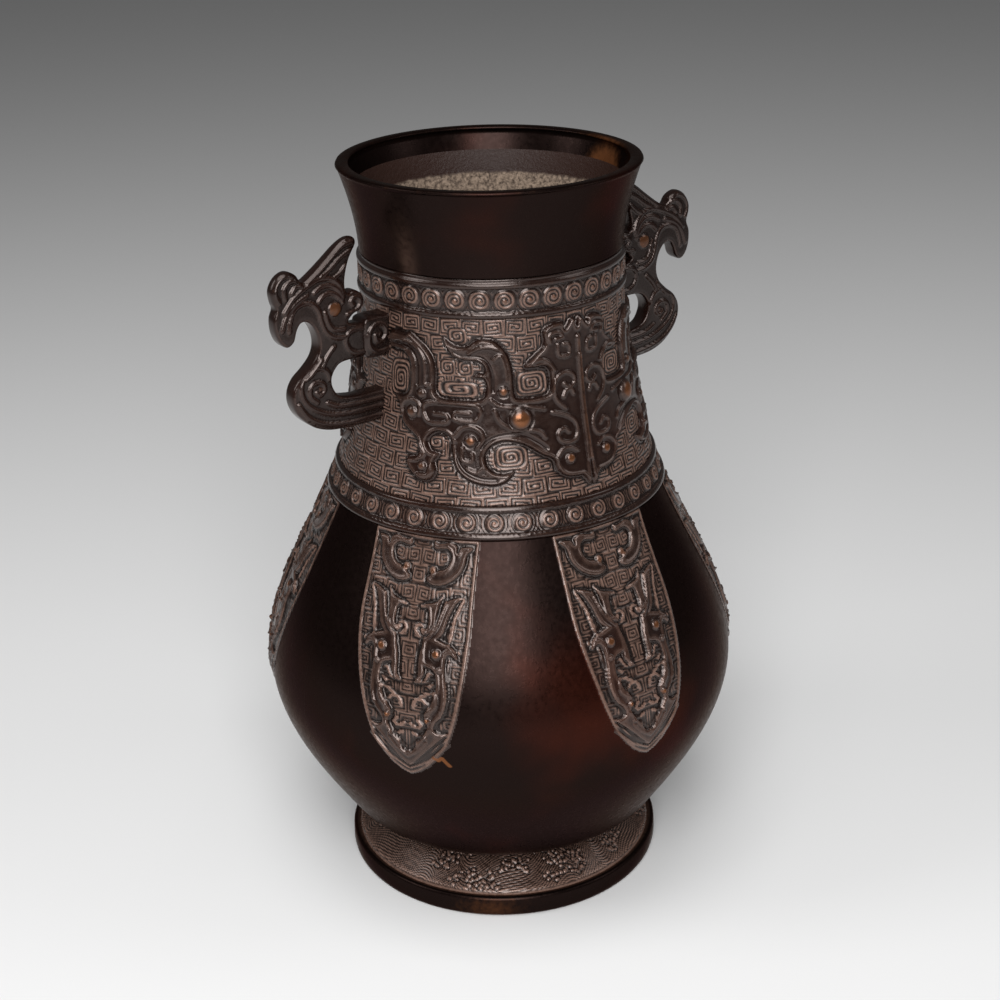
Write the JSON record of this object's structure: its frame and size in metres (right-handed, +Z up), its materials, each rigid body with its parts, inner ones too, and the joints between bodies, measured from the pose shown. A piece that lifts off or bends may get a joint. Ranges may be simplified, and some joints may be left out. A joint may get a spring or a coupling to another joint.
{
  "type": "bronze hu vase",
  "caption": "Archaistic bronze hu vase with a flared lip, whorl bands, a monster-mask band, hanging blades, a carved ring foot and bird-head handles.",
  "frame": {"origin": "centre of the foot, on the surface that the vase stands on", "axes": "+Z up along the axis of the vessel, a mask faces -Y and the other +Y, and the handles stand on the X axis"},
  "size_m": [0.1982, 0.192, 0.3],
  "materials": {
    "patinated_bronze": "cast, with a dark brown patina",
    "worn_bronze": "cast, with a dark brown patina rubbed at the edges"
  },
  "bodies": {
    "root": {"vase_body": "patinated_bronze", "left_handle": "worn_bronze", "right_handle": "worn_bronze"}
  },
  "joints": []
}
